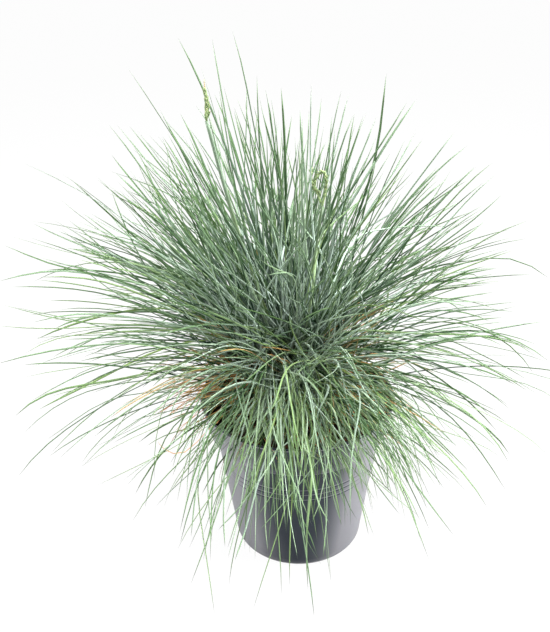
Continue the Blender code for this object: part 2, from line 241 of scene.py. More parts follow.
def feed(tree, socket, value):
    # sets a socket from another socket, an attribute's name, a colour, a number, or (share, colour, colour)
    if isinstance(value, tuple) and isinstance(value[0], str):
        value = blend(tree, *value)
    if isinstance(value, str):
        value = addNode(tree, "ShaderNodeAttribute", attribute_name=value).outputs["Fac"]
    if isinstance(value, bpy.types.NodeSocket):
        tree.links.new(value, socket)
    else:
        socket.default_value = (*value, 1.0) if isinstance(value, tuple) else value


def blend(tree, share, first, second, kind="RGBA"):
    # mix of two colours or, of kind FLOAT, of two numbers
    node = addNode(tree, "ShaderNodeMix", data_type=kind)
    places, result = ((0, 6, 7), 2) if kind == "RGBA" else ((0, 2, 3), 0)
    for place, value in zip(places, (share, first, second)):
        feed(tree, node.inputs[place], value)
    return node.outputs[result]


def band(tree, value, low, high, outLow=0.0, outHigh=1.0):
    # value mapped from low..high to outLow..outHigh, clamped
    node = tree.nodes.new("ShaderNodeMapRange")
    names = ("Value", "From Min", "From Max", "To Min", "To Max")
    for name, number in zip(names, (value, low, high, outLow, outHigh)):
        feed(tree, node.inputs[name], number)
    return node.outputs["Result"]


def times(tree, first, second):
    # product of two sockets or numbers
    node = addNode(tree, "ShaderNodeMath", operation="MULTIPLY")
    feed(tree, node.inputs[0], first)
    feed(tree, node.inputs[1], second)
    return node.outputs[0]


def mottleGroup():
    # shared effect: two sizes of noise on object coordinates; Mask is 0..1, Height feeds a bump
    group = bpy.data.node_groups.new("mottle", "ShaderNodeTree")
    for name, way in (("Scale", "INPUT"), ("Fine", "INPUT"), ("Mask", "OUTPUT"), ("Height", "OUTPUT")):
        group.interface.new_socket(name, in_out=way, socket_type="NodeSocketFloat")
    taken, given = group.nodes.new("NodeGroupInput"), group.nodes.new("NodeGroupOutput")
    place = group.nodes.new("ShaderNodeTexCoord").outputs["Object"]
    coarse, noises = taken.outputs["Scale"], []
    for scale, detail, roughness in ((coarse, 3.0, 0.6), (times(group, coarse, 6.0), 4.0, 0.7)):
        noise = addNode(group, "ShaderNodeTexNoise", Detail=detail, Roughness=roughness)
        feed(group, noise.inputs["Vector"], place)
        feed(group, noise.inputs["Scale"], scale)
        noises.append(noise.outputs["Fac"])
    height = blend(group, taken.outputs["Fine"], *noises, "FLOAT")
    feed(group, given.inputs["Mask"], band(group, height, 0.3, 0.7))
    feed(group, given.inputs["Height"], height)
    return group


mottle = mottleGroup()


def mottled(tree, scale, fine):
    # the mask and the height of that effect; fine is the smaller noise's share
    node = addNode(tree, "ShaderNodeGroup", node_tree=mottle)
    feed(tree, node.inputs["Scale"], scale)
    feed(tree, node.inputs["Fine"], fine)
    return node.outputs["Mask"], node.outputs["Height"]


def newMaterial(name, specular, roughness=0.9):
    material = bpy.data.materials.new(name)
    material.use_nodes = True
    tree = material.node_tree
    shader = tree.nodes["Principled BSDF"]
    feed(tree, shader.inputs["Specular IOR Level"], specular)
    feed(tree, shader.inputs["Roughness"], roughness)
    return material, tree, shader


def mottledMaterial(name, specular, roughness, noise, bump, colour, *layers):
    # others are laid over the colour in turn; each layer is a value, the range of it that counts, the other
    # colour's share at both ends of that range, and that colour; roughness is given at both ends of the mask,
    # noise and bump are scale and share of fine noise, and bump also the distance and strength
    material, tree, shader = newMaterial(name, specular)
    mask, _ = mottled(tree, *noise)
    slant = addNode(tree, "ShaderNodeLayerWeight", Blend=0.5).outputs["Facing"]
    for value, low, high, least, most, over in layers:
        value = {"mask": mask, "slant": slant}.get(value, value)
        colour = blend(tree, band(tree, value, low, high, least, most), colour, over)
    feed(tree, shader.inputs["Base Color"], colour)
    feed(tree, shader.inputs["Roughness"], band(tree, mask, 0, 1, *roughness))
    if bump:
        scale, fine, distance, strength = bump
        node = addNode(tree, "ShaderNodeBump", Strength=strength, Distance=distance)
        feed(tree, node.inputs["Height"], mottled(tree, scale, fine)[1])
        feed(tree, shader.inputs["Normal"], node.outputs["Normal"])
    return material


# waxy blue bloom over green: tone picks deep or pale, green takes the bloom off, the channel is bare, and
# along leads from the dark sheath to the olive end and its dry tip; the dark sheath is partly the leaf's own
# darker base and partly painted shade for the depth of the clump
leafColours = {
    "bloom": ("tone", (0.009, 0.025, 0.016), (0.46, 0.56, 0.51)),
    "green": ("tone", (0.012, 0.040, 0.007), (0.23, 0.33, 0.095)),
    "channel": (0.015, 0.040, 0.014), "olive": (0.072, 0.125, 0.052), "sheath": (0.022, 0.028, 0.012),
    "tip": (0.110, 0.085, 0.042), "straw": (0.38, 0.20, 0.068),
}
blueLeaf = mottledMaterial(
    "blueLeaf", 0.06, (0.40, 0.60), (90.0, 0.35), (), ("green", leafColours["bloom"], leafColours["green"]),
    ("mask", 0.35, 1, 0, 0.35, leafColours["green"]),
    ("channel", 0.2, 1, 0, 0.6, leafColours["channel"]),
    ("along", 0.45, 0.92, 0, 0.75, leafColours["olive"]),
    # painted shade: leaf bases darken towards the root, partly their own sheath and partly standing in for
    # the shade deep in the clump
    ("along", 0, 0.28, 0.85, 0, leafColours["sheath"]),
    ("along", 0.92, 1, 0, 0.6, leafColours["tip"]),
    ("dry", 0, 1, 0, 1, leafColours["straw"]))

# dead leaves: orange-brown by tone, with darker blotches
dryColours = {"brown": ("tone", (0.38, 0.13, 0.035), (0.55, 0.29, 0.11)), "dark": (0.07, 0.03, 0.015)}
dryLeaf = mottledMaterial(
    "dryLeaf", 0.3, (0.75, 0.75), (160.0, 0.5), (160.0, 0.5, 0.0003, 1.0), dryColours["brown"],
    ("mask", 0.5, 1, 0, 0.55, dryColours["dark"]))

# packed leaf bases with painted shade between them: the ball and blotches over the sheaths take a near-black
# colour standing in for the shade deep in the crown; each sheath tan or green by tone
crownColours = {
    # the dark colour is painted shade, not a colour of the leaf bases
    "dark": (0.012, 0.011, 0.007), "sheath": ("green", (0.13, 0.085, 0.038), (0.06, 0.085, 0.030)),
}
crownSheath = mottledMaterial(
    "crownSheath", 0.3, (0.8, 0.8), (220.0, 0.5), (220.0, 0.5, 0.0004, 1.0),
    ("tone", crownColours["dark"], crownColours["sheath"]), ("mask", 0.5, 1, 0, 0.6, crownColours["dark"]))

# damp peat: almost black, with brown crumbs where tone is high
soilColours = {"dark": (0.0042, 0.003, 0.0026), "brown": (0.028, 0.014, 0.009), "bark": (0.13, 0.052, 0.022)}
pottingSoil = mottledMaterial(
    "pottingSoil", 0.1, (0.7, 0.95), (260.0, 0.6), (260.0, 0.6, 0.0012, 1.0), soilColours["dark"],
    ("mask", 0, 1, 0, 1, soilColours["brown"]), ("tone", 0.55, 1, 0, 1, soilColours["bark"]))

# satin moulded plastic: slate, faintly cloudy and grained; a paler colour mixed in at a slant is a painted
# reflection, standing in for the bright room's sheen on the pot's sides at grazing angles
potColours = {"base": (0.005, 0.010, 0.018), "dull": (0.008, 0.014, 0.024), "paintedSheen": (0.150, 0.150, 0.164)}
potPlastic = mottledMaterial(
    "potPlastic", 0.26, (0.38, 0.50), (14.0, 0.25), (700.0, 0.6, 0.00006, 0.5), potColours["base"],
    # painted reflection: facing blends the base towards the pale sheen colour at a slant
    ("mask", 0.2, 0.9, 0, 0.5, potColours["dull"]), ("slant", 0.38, 0.54, 0, 1, potColours["paintedSheen"]))

# culm and spikelets: green by tone, the flag sheath bluish, the awns and tip straw coloured
stemColours = {
    "deep": (0.060, 0.105, 0.035), "pale": (0.19, 0.26, 0.11), "sheath": (0.13, 0.185, 0.13),
    "awn": (0.30, 0.22, 0.12),
}
flowerStem = mottledMaterial(
    "flowerStem", 0.4, (0.55, 0.55), (200.0, 0.4), (200.0, 0.4, 0.0002, 1.0),
    ("tone", stemColours["deep"], stemColours["pale"]),
    ("sheath", 0, 1, 0, 1, stemColours["sheath"]), ("awn", 0, 1, 0, 1, stemColours["awn"]),
    ("mask", 0.55, 1, 0, 0.3, stemColours["deep"]))
print("materials made")

pot = {
    "height": 0.145, "rim": 0.085, "base": 0.058, "fillet": 0.004, "wall": 0.0018, "floor": 0.0025,
    "collar": 0.030, "collarFoot": 0.0785, "step": 0.0734, "footEdge": 0.0012, "lipEdge": 0.0010,
    "grooves": (0.0930, 0.0875, 0.0820), "grooveDepth": 0.0002, "grooveHalf": 0.0012, "sides": 144,
    "drainHoles": 6, "drainRadius": 0.0045, "drainCircle": 0.040, "drainCut": (-0.004, 0.008),
}


def bodyRadius(height):
    # straight taper from the base to the foot of the collar
    return pot["base"] + (pot["step"] - pot["base"]) / (pot["height"] - pot["collar"]) * height


def collarRadius(above):
    # straight taper over the collar, by the height above its foot
    return pot["collarFoot"] + (pot["rim"] - pot["collarFoot"]) / pot["collar"] * above


def arcPoints(r, z, radius, fromTurn, toTurn, count):
    # points on a circle about (r, z) of the profile, turns in degrees from outwards (0) to upwards (90)
    turn = np.radians(np.linspace(fromTurn, toTurn, count))
    return joined(r + radius * np.cos(turn), z + radius * np.sin(turn))


def potProfile():
    # (r, z) from the middle of the base up the outside, over the rolled lip, and down the inside to the
    # floor; a groove is depth cos^2(pi d / 2) deep at a distance d from its middle, in half widths
    top, wall, floor, fillet = pot["height"], pot["wall"], pot["floor"], pot["fillet"]
    step, footEdge, lipEdge = pot["step"], pot["footEdge"], pot["lipEdge"]
    foot = top - pot["collar"]
    heights = np.concatenate([np.linspace(0.008, 0.078, 8), np.linspace(0.0795, 0.0955, 65),
                              np.linspace(0.098, foot - footEdge, 5)])
    away = np.abs(heights[:, None] - pot["grooves"]).min(1) / pot["grooveHalf"]
    cut = pot["grooveDepth"] * np.cos(np.clip(away, 0, 1) * np.pi / 2) ** 2
    up = np.linspace(0.004, pot["collar"] - 0.003, 7)
    inner = [[pot["rim"] - wall - 0.0004, top - 0.003], [pot["collarFoot"] - wall, foot + 0.002],
             [step - wall, foot - 0.002], [bodyRadius(floor) - 0.0030, floor + 0.001],
             [bodyRadius(floor) - 0.0045, floor], [0.006, floor]]
    return np.concatenate([
        joined(np.linspace(0.006, pot["base"] - fillet, 9), 0.0),
        arcPoints(bodyRadius(fillet) - fillet, fillet, fillet, -84, -6, 7),
        joined(bodyRadius(heights) - cut, heights),
        [[step, foot - 0.0004], [step + 0.0005, foot]],
        arcPoints(pot["collarFoot"] - footEdge, foot + footEdge, footEdge, -88, -4, 6),
        joined(collarRadius(up), foot + up),
        arcPoints(pot["rim"] - lipEdge, top - lipEdge, lipEdge, -60, 170, 12), inner])


def makePot():
    # the profile turned about Z, with the drain holes cut through its floor
    rings = turnedRings(potProfile(), pot["sides"])
    shellPart = tubeMesh(rings, [[0, 0, 0]], [[0, 0, pot["floor"]]], {})
    shell = meshPiece("potShell", [shellPart], potPlastic, "pot_plastic", "pot")
    centres = pot["drainCircle"] * headings(middles(pot["drainHoles"]) * 2 * np.pi, 0)
    ends = centres + np.array(pot["drainCut"])[:, None, None] * [0, 0, 1]
    posts = np.moveaxis(ends, 0, 1)[:, :, None] + pot["drainRadius"] * joined(*roundSection(28).T, 0)
    cutter = meshPiece("drainCutter", [tubeMesh(posts, *ends, {})], potPlastic, "pot_plastic")
    cut = shell.modifiers.new("drains", "BOOLEAN")
    cut.operation = "DIFFERENCE"
    cut.object = cutter
    made = bpy.data.meshes.new_from_object(shell.evaluated_get(bpy.context.evaluated_depsgraph_get()))
    shell.modifiers.clear()
    shell.data = made
    made.shade_smooth()
    made.set_sharp_from_angle(angle=np.radians(50))
    bpy.data.objects.remove(cutter)


makePot()
print("pot made")

soil = {
    "top": 0.1324, "gap": 0.0004, "lump": 0.0011, "bottom": 0.004,
    "side": (0.006, 0.03, 0.06, 0.1, 0.112, 0.1165, 0.131),      # heights of the plug's rings up the wall
    "crumbs": 1500, "crumbSize": (0.0007, 0.0026), "crumbReach": 0.0765,
    "chips": 260, "chipLength": (0.003, 0.013), "chipWidth": (0.00025, 0.0008),
    "chipReach": 0.071, "chipEdge": 0.077,
}


def lumps(x, y, amplitude, seed):
    # sum of 36 plane waves of random direction, 4 to 22 mm long
    waves = np.random.default_rng(seed)
    length = waves.uniform(0.004, 0.022, 36)
    turn, phase = waves.uniform(0, 2 * np.pi, (2, 36))
    swing = (np.cos(turn) * x[..., None] + np.sin(turn) * y[..., None]) * 2 * np.pi / length + phase
    return amplitude * (np.sin(swing) * np.sqrt(length / 0.022)).sum(-1) / 4.0


def innerRadius(height):
    # the pot's inside radius at a height
    foot = pot["height"] - pot["collar"]
    return np.where(height < foot, bodyRadius(height) - 0.0012, collarRadius(height - foot)) - pot["wall"]


def onSoil(x, y, above=0.0):
    # points so far above the lumpy top of the soil
    return joined(x, y, soil["top"] + lumps(x, y, soil["lump"], 5) + above)


def makeSoil():
    # one closed plug: bottom, side up the pot's wall, and a lumpy top on a polar grid
    side = np.array(soil["side"])
    radius = innerRadius(side) - soil["gap"] - 0.0004
    radius[5] -= 0.0004                 # clear of the step inside the collar
    outer = joined(np.concatenate([[0.02, 0.05], radius]), np.concatenate([[soil["bottom"]] * 2, side]))
    edge = innerRadius(0.1325) - soil["gap"]
    inwards = joined(np.linspace(edge - 0.0006, 0.002, 58), 0.0)
    rings = turnedRings(np.concatenate([outer, inwards]), 200)
    top = rings[0, len(outer):]
    top[:] = onSoil(top[..., 0], top[..., 1])
    plug = tubeMesh(rings, [[0, 0, soil["bottom"]]], onSoil(np.zeros(1), np.zeros(1)), {"tone": 0.0})
    meshPiece("soilPlug", [plug], pottingSoil, "potting_soil", "potting_soil")


def icosahedron():
    # 12 corners on two rings and two poles, and its 20 faces
    ring = np.arange(5) * 2 * np.pi / 5
    high = joined(np.cos(ring) * 0.894, np.sin(ring) * 0.894, 0.447)
    low = joined(np.cos(ring + np.pi / 5) * 0.894, np.sin(ring + np.pi / 5) * 0.894, -0.447)
    i = np.arange(5)
    j = (i + 1) % 5
    faces = [joined(i, j, 10), joined(i, i + 5, j), joined(j, i + 5, j + 5), joined(i + 5, 11, j + 5)]
    return np.concatenate([high, low, [[0, 0, 1.0], [0, 0, -1.0]]]), np.concatenate(faces)


def soilSpots(count, least, reach):
    # spots spread evenly over the soil: radius reach sqrt(u), for u from least to 1
    away = np.sqrt(between(least, 1.0, count)) * reach
    turn = between(0, 2 * np.pi, count)
    return away * np.cos(turn), away * np.sin(turn)


def makeCrumbs():
    # crumbs: icosahedra with each corner pushed in or out at random, flattened a little, resting in the soil
    count = soil["crumbs"]
    x, y = soilSpots(count, 0.0, soil["crumbReach"])
    size = between(*soil["crumbSize"], count) * between(0.5, 1.0, count)
    corners, faces = icosahedron()
    stretch = between(0.6, 1.3, (count, 1, 3)) * [1, 1, 0.75]
    shape = corners * between(0.7, 1.2, (count, 12, 1)) * stretch * size[:, None, None]
    spin = between(0, 2 * np.pi, count)[:, None]
    turnedX = shape[..., 0] * np.cos(spin) - shape[..., 1] * np.sin(spin)
    turnedY = shape[..., 0] * np.sin(spin) + shape[..., 1] * np.cos(spin)
    verts = joined(turnedX, turnedY, shape[..., 2]) + onSoil(x, y, size * 0.25)[:, None]
    tris = (faces + 12 * np.arange(count)[:, None, None]).reshape(-1, 3)
    tone = np.repeat(between(0, 1, count) ** 2.0, 12)
    part = (verts.reshape(-1, 3), np.zeros((0, 4), int), tris, {"tone": tone})
    meshPiece("soilCrumbs", [part], pottingSoil, "potting_soil")


def makeChips():
    # bark fibres: thin bent strips lying on the soil, each an arc swept with a flat section
    count = soil["chips"]
    x, y = soilSpots(count, 0.1, soil["chipReach"])
    start = onSoil(x, y, 0.0008)
    azimuth = between(0, 2 * np.pi, count)
    end = (start + headings(azimuth, 0) * between(*soil["chipLength"], count)[:, None])[:, :2]
    end *= np.minimum(1, soil["chipEdge"] / np.hypot(*end.T))[:, None]
    end = onSoil(*end.T, between(0.0006, 0.0030, count))
    share = middles(6)
    fall = between(0.1, 0.9, (count, 1)) * share
    paths = curvedPaths(start, end, fall, scatter(0.5, (count, 1)) * (share - 0.5))
    widths = between(*soil["chipWidth"], (count, 1)) * [0.6, 1, 1, 0.9, 0.8, 0.4]
    section = np.array([[1.0, 0.0], [0.0, 0.4], [-1.0, 0.0], [0.0, -0.4]])
    twist = between(0, 3, (count, 1))
    part = blades(paths, {"tone": between(0.6, 1.0, (count, 1, 1))}, widths, section, twist)
    meshPiece("soilChips", [part], pottingSoil, "potting_soil")


makeSoil()
makeCrumbs()
makeChips()
print("soil made")

clump = {
    "crown": (-0.006, 0.010, 0.1442),   # centre of the ball that the shoots stand on
    "ball": 0.042,
    "shoots": 600,
    "leavesPerShoot": 5,
    "fan": 0.18,                        # spread of a shoot's leaves, in radians
    "mostTilt": 112.0,                  # lowest line from crown to tip, degrees from straight up
    "thinBelow": 40.0,                  # rise in degrees below which shoots grow sparser
    "thinnest": 0.06,
    "reachUp": 0.238,                   # tips of the main mass from the ball, straight up and level
    "reachLevel": 0.160,
    "longerSide": 0.09,                 # more reach to the left of the picture, less to the right
    "shortest": 0.40,
    "width": (0.0010, 0.0021),
    "steps": 13,
    "rimClear": 0.0035,
    "falling": 145,                     # leaves that arch over the front of the soil and the rim
    "thatch": 240,                      # short old leaves low round the crown
    "tallAbove": 0.37,                  # the tallest tips' leaves are wider and darker
    "tallWidth": 1.25, "tallTone": 0.7,
    "strawShare": 0.007,                # leaves gone dry above the thatch
    # the smaller end for leaves in front makes them paler: painted light for the near side of the clump,
    # which the mass above shades
    "toneShape": (0.42, 0.48, 0.80),    # of the beta distribution: its start, and its end in front and behind
    "drawnGreen": 0.7,
    "rootScatter": 0.55, "rootRise": 0.9, "lowestRoot": -0.15,
}
# each kind of leaf: width, sideways curve in radians, and the tone of its darkest and of its palest leaves
leafKinds = {
    # drawn and falling leaves, all on the near side, have a raised lowest tone: painted light there as well
    "drawn": (1.20, 0.00, 1.0, 0.78), "pictured": (1.15, 0.30, 0.0, 1.0), "packed": (1.10, 0.30, 0.0, 1.0),
    "fuller": (0.90, 0.45, 0.0, 1.0), "falling": (0.95, 0.45, 0.8, 0.70), "shoot": (0.88, 0.62, 0.0, 1.0),
    "thatch": (0.75, 0.60, 0.0, 1.0),
}
crownCentre = np.array(clump["crown"])
rootRadius = clump["ball"] - 0.002      # leaves start a little inside the ball
leafSection = np.array([[0.5, 0.16], [0, -0.02], [-0.5, 0.16], [-0.3, -0.16], [0, -0.3], [0.3, -0.16]])
leafChannel = np.array([0.1, 1, 0.1, 0, 0, 0])              # 1 in the groove of the upper side


def packedTufts():
    # each packed tuft's direction from the crown, and its leaf tips: corners with no other within 6 mm
    names = sorted(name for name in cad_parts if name.startswith("leaf_tuft"))
    directions, tips = [], []
    for name in names:
        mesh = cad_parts[name].data
        places = np.empty(len(mesh.vertices) * 3)
        mesh.vertices.foreach_get("co", places)
        places = places.reshape(-1, 3)
        offset = places - crownCentre
        directions.append(unit((offset * np.linalg.norm(offset, axis=1, keepdims=True)).sum(0)))
        apart = np.linalg.norm(places[:, None] - places[None], axis=-1)
        alone = ~((apart > 1e-5) & (apart < 0.006)).any(1)
        tips.append(np.unique(np.round(places[alone], 5), axis=0))
    return names, np.array(directions), np.concatenate(tips)


def droopOf(rise):
    # total droop of a leaf whose root and tip are joined by a line of this rise, in radians
    tilt = 90.0 - np.degrees(rise)
    return np.radians(tilt * (0.5 + 0.0025 * tilt))


def shootDirections():
    # golden-angle spiral from straight up to the lowest tilt, each shaken a little; low ones thinned out
    count = clump["shoots"]
    index = np.arange(count) + 0.5
    tilt = np.arccos(1 - index / count * (1 - np.cos(np.radians(clump["mostTilt"]))))
    azimuth = index * np.pi * (3 - np.sqrt(5)) + scatter(0.08, count)
    rise = np.pi / 2 - np.abs(tilt + scatter(0.05, count))
    share = np.clip((np.degrees(rise) + 16) / (clump["thinBelow"] + 16), 0, 1) ** 1.3
    keep = between(0, 1, count) < clump["thinnest"] + (1 - clump["thinnest"]) * share
    return azimuth[keep], rise[keep]


def rootsOnBall(azimuth, lift):
    # about where the ball faces along the leaf, scattered by half a radian and moved up over it, the more so
    # the more level the leaf starts
    toRoot = headings(azimuth, lift) + scatter(clump["rootScatter"], (len(azimuth), 3))
    toRoot[:, 2] += between(0, clump["rootRise"], len(azimuth)) * np.cos(lift)
    toRoot = unit(toRoot)
    toRoot[:, 2] = np.maximum(toRoot[:, 2], clump["lowestRoot"])
    return crownCentre + unit(toRoot) * rootRadius


def tipsBeyondBall(azimuth, rise, lift, reach):
    # a tip lies on a line of this azimuth and rise, drawn from just outside the ball
    away = clump["ball"] + 0.01
    return crownCentre + headings(azimuth, lift) * away + headings(azimuth, rise) * reach[:, None]


def shootLeaves():
    # each shoot stands on one root and fans its leaves about its own direction
    azimuth, rise = shootDirections()
    leaves = clump["leavesPerShoot"]
    toTip = headings(azimuth, rise)[:, None] + scatter(clump["fan"], (len(rise), leaves, 3))
    toTip = unit(toTip).reshape(-1, 3)
    count = len(toTip)
    leafAzimuth, leafRise = bearing(toTip)
    longest = clump["reachLevel"] + (clump["reachUp"] - clump["reachLevel"]) * np.clip(toTip[:, 2], 0, 1)
    longest *= 1 - clump["longerSide"] * toTip[:, 0]
    vigour = np.repeat(between(0.74, 1.05, len(rise)), leaves)
    share = clump["shortest"] + (1 - clump["shortest"]) * between(0, 1, count) ** 0.6
    droop = droopOf(leafRise) * between(0.2, 1.15, count) * (0.25 + 0.75 * share)
    start = np.repeat(rootsOnBall(azimuth, rise + droopOf(rise) / 2), leaves, axis=0)
    start = start + scatter(0.0012, start.shape)
    tip = tipsBeyondBall(leafAzimuth, leafRise, leafRise + droop / 2, longest * vigour * share)
    keep = between(0, 1, count) > sparseness(tip)
    return start[keep], tip[keep], droop[keep]


# places in the picture where the clump is sparser (x, y, spread, percent missing) and fuller (x, y, depth in
# mm, spread, leaves more)
sparser = (
    (440, 335, 58, 92), (485, 335, 50, 85), (425, 262, 34, 70), (105, 402, 50, 92), (165, 365, 28, 75),
    (208, 138, 28, 100), (366, 148, 38, 88), (375, 210, 32, 75), (75, 335, 34, 70), (112, 255, 28, 50),
    (290, 432, 42, 60), (362, 450, 16, 30), (205, 495, 20, 90), (386, 464, 17, 95), (110, 165, 20, 50),
    (420, 195, 36, 90), (305, 75, 36, 95), (234, 162, 30, 100), (392, 160, 38, 100), (462, 235, 34, 95),
    (148, 418, 28, 90), (62, 285, 32, 85), (500, 350, 36, 100), (455, 285, 30, 88), (205, 90, 40, 90),
    (150, 90, 40, 90), (400, 110, 40, 90),
)
fuller = (
    (70, 232, 20, 20, 8), (152, 150, 30, 14, 8), (416, 458, -120, 15, 30), (265, 105, 20, 14, 10),
    (412, 490, -140, 13, 22), (186, 480, -140, 12, 12), (338, 165, 30, 13, 12), (442, 415, -90, 20, 14),
)


def sparseness(tip):
    # share of leaves missing at each tip: the largest of share exp(-d^2 / 2 spread^2) over the sparser places
    spots = np.array(sparser)
    away = np.linalg.norm(pictureSpot(tip)[:, None] - spots[:, :2], axis=-1)
    return (spots[:, 3] / 100 * np.exp(-0.5 * (away / spots[:, 2]) ** 2)).max(1)


def fullerTips():
    # normally scattered tips about each fuller place
    places = np.array(fuller, float)
    spots = np.repeat(places[:, :4], places[:, 4].astype(int), axis=0)
    spots[:, :2] += scatter(1, (len(spots), 2)) * spots[:, 3:]
    spots[:, 2] = spots[:, 2] / 1000 + scatter(0.02, len(spots))
    return spotAtDepth(spots)


# leaf tips that stand out in the picture, at the top, left, right and front (x, y, depth in mm)
standingTips = (
    (232, 27, 0), (180, 38, 85), (128, 67, 10), (254, 79, 30), (292, 115, 60), (261, 107, -20),
    (271, 98, 50), (281, 87, 0), (300, 109, 80), (309, 109, -10), (323, 98, 100), (341, 96, 30),
    (349, 93, 70), (386, 74, 30), (363, 116, 0), (377, 116, 60), (377, 135, 20), (237, 126, -30),
    (222, 153, 50), (180, 113, 40), (160, 110, 60), (149, 135, 20), (137, 132, 80), (117, 125, 0),
    (116, 173, 20), (119, 189, 90), (138, 167, -20), (100, 201, 50), (79, 220, -30), (71, 238, 80),
    (68, 248, 20), (56, 263, -20), (46, 270, 100), (0, 281, 40), (10, 287, 0), (47, 301, 60),
    (50, 325, 0), (54, 329, 70), (63, 338, -40), (25, 364, 20), (38, 410, -20), (14, 417, -50),
    (23, 434, -50), (18, 476, -80), (71, 394, -40), (90, 394, -70), (94, 437, -120), (109, 419, -90),
    (113, 443, -120), (138, 443, -110),
    (391, 152, 40), (406, 155, 0), (405, 172, 80), (413, 169, 30), (428, 179, 60), (439, 175, 100),
    (447, 179, 0), (493, 163, 50), (496, 174, 20), (468, 180, 80), (458, 200, 0), (476, 211, 50),
    (484, 223, 30), (458, 243, 60), (467, 247, -20), (528, 239, -10), (486, 266, 50), (550, 280, 60),
    (495, 292, 0), (516, 302, 40), (515, 311, -20), (491, 322, 60), (511, 343, 0), (503, 346, 40),
    (489, 369, -30), (471, 343, 30), (529, 392, -50), (506, 428, -80), (546, 455, -80), (509, 463, -100),
    (506, 491, -120), (490, 415, -60),
    (457, 447, -100), (476, 472, -110), (485, 508, -130), (452, 537, -170), (429, 560, -190),
    (421, 542, -180), (420, 528, -160), (409, 520, -170), (398, 479, -140), (388, 492, -150),
    (132, 520, -130), (180, 544, -170), (189, 548, -180), (211, 543, -180), (213, 613, -200),
    (230, 579, -190), (253, 610, -210), (312, 617, -210), (268, 554, -190), (286, 534, -180),
    (306, 544, -180), (322, 566, -190), (319, 560, -180), (341, 526, -170), (312, 522, -170),
    (320, 521, -180), (364, 493, -150), (344, 486, -150), (256, 532, -180), (345, 480, -150),
)


def picturedTips(packed):
    # the picture's tips, apart from those within 7 pixels of a packed leaf's tip
    spots = np.array(standingTips) * [1, 1, 0.001]
    away = np.linalg.norm(spots[:, None, :2] - pictureSpot(packed), axis=-1).min(1)
    return spotAtDepth(spots[away > 7])


def leavesTo(tip, least=0.75, most=1.1):
    # leaves that end at these tips, with a droop between these shares of the usual one
    azimuth, rise = bearing(tip - crownCentre)
    droop = droopOf(rise) * between(least, most, len(tip))
    return rootsOnBall(azimuth, rise + droop / 2), tip, droop


def fallingTips():
    # tips that hang in front, most over the soil and the rim and some lower down: x spreads about the pot's
    # middle, more so lower down, y grows with u^1.3 and rises to both sides, and the depth is the near side's
    count = clump["falling"]
    low = between(0, 1, count) ** 1.3
    across = 292 + scatter(1, count) * (42 + 12 * low)
    down = 420 + 112 * low + scatter(8, count) - 0.0012 * (across - 295) ** 2
    depth = nearSide(joined(across, down)) + between(-0.012, 0.03, count)
    return spotAtDepth(joined(across, down, depth))


# leaves drawn one by one on the near side of the clump: x and y of spots from low on the leaf to its tip
drawnLeaves = (
    (277, 400, 280, 450, 286, 533), (283, 440, 288, 503, 298, 560), (291, 430, 301, 507, 306, 543),
    (307, 415, 302, 463, 293, 513), (268, 430, 265, 510, 268, 553), (258, 425, 256, 507, 255, 560),
    (252, 450, 240, 510, 228, 558), (277, 450, 245, 500, 218, 530),
    (345, 428, 318, 461, 288, 498, 257, 533), (306, 440, 316, 495, 330, 525),
    (320, 430, 327, 500, 323, 560), (324, 440, 333, 495, 342, 525), (327, 440, 321, 495, 312, 522),
    (303, 445, 320, 461, 343, 480), (293, 433, 280, 448, 265, 456), (338, 425, 370, 475, 400, 515),
    (345, 420, 357, 465, 363, 493), (350, 415, 366, 455, 380, 487), (372, 410, 386, 460, 388, 492),
    (330, 405, 342, 440, 354, 475), (252, 405, 236, 455, 217, 507), (215, 420, 208, 480, 212, 542),
    (215, 415, 198, 480, 191, 537), (232, 440, 224, 505, 225, 547), (262, 470, 247, 525, 235, 560),
    (281, 400, 282, 460, 284, 515), (303, 343, 315, 355, 314, 368, 303, 383),
    (337, 346, 360, 378, 385, 409), (341, 348, 362, 380, 390, 412), (352, 290, 370, 327, 381, 349),
    (308, 345, 318, 360, 350, 400), (328, 385, 319, 410, 312, 430), (335, 360, 347, 400, 354, 429),
    (355, 365, 380, 400, 400, 429), (340, 355, 365, 392, 380, 415), (285, 295, 276, 240, 257, 190),
    (281, 275, 287, 235, 294, 200), (245, 284, 197, 266, 168, 262), (240, 308, 203, 282, 171, 269),
    (262, 312, 242, 267, 230, 243), (263, 310, 258, 285, 254, 268), (240, 291, 190, 291, 148, 298),
    (250, 334, 225, 315, 196, 300), (268, 341, 235, 342, 192, 346), (270, 337, 249, 343, 234, 349),
    (286, 327, 254, 341, 227, 359), (269, 347, 260, 354, 250, 363), (268, 347, 266, 370, 262, 399),
    (266, 356, 250, 376, 233, 401), (262, 379, 285, 380, 306, 379), (314, 358, 293, 376, 271, 393),
    (293, 343, 300, 350, 313, 366), (242, 365, 219, 370, 192, 390), (256, 364, 225, 377, 193, 402),
    (250, 372, 225, 388, 203, 408), (265, 292, 290, 317, 312, 338, 339, 362),
    (292, 330, 322, 262, 306, 231, 291, 209), (330, 290, 355, 239, 400, 227, 450, 226),
    (311, 300, 318, 245, 331, 225, 367, 195), (330, 303, 346, 285, 358, 270),
    (262, 330, 230, 290, 200, 250), (306, 318, 298, 285, 301, 240), (316, 330, 347, 300, 385, 262),
    (255, 350, 225, 352, 190, 366), (298, 352, 306, 388, 301, 421), (284, 356, 290, 395, 297, 432),
    (276, 358, 262, 405, 240, 446),
)


def nearSide(spots):
    # depth of the clump's near side at picture spots: nearer the lower they are, farther off to both sides
    across, down = spots[..., 0], spots[..., 1]
    return np.where(down > 340, -0.00075, -0.00035) * (down - 340) - 0.058 + 0.0002 * np.abs(across - 290)


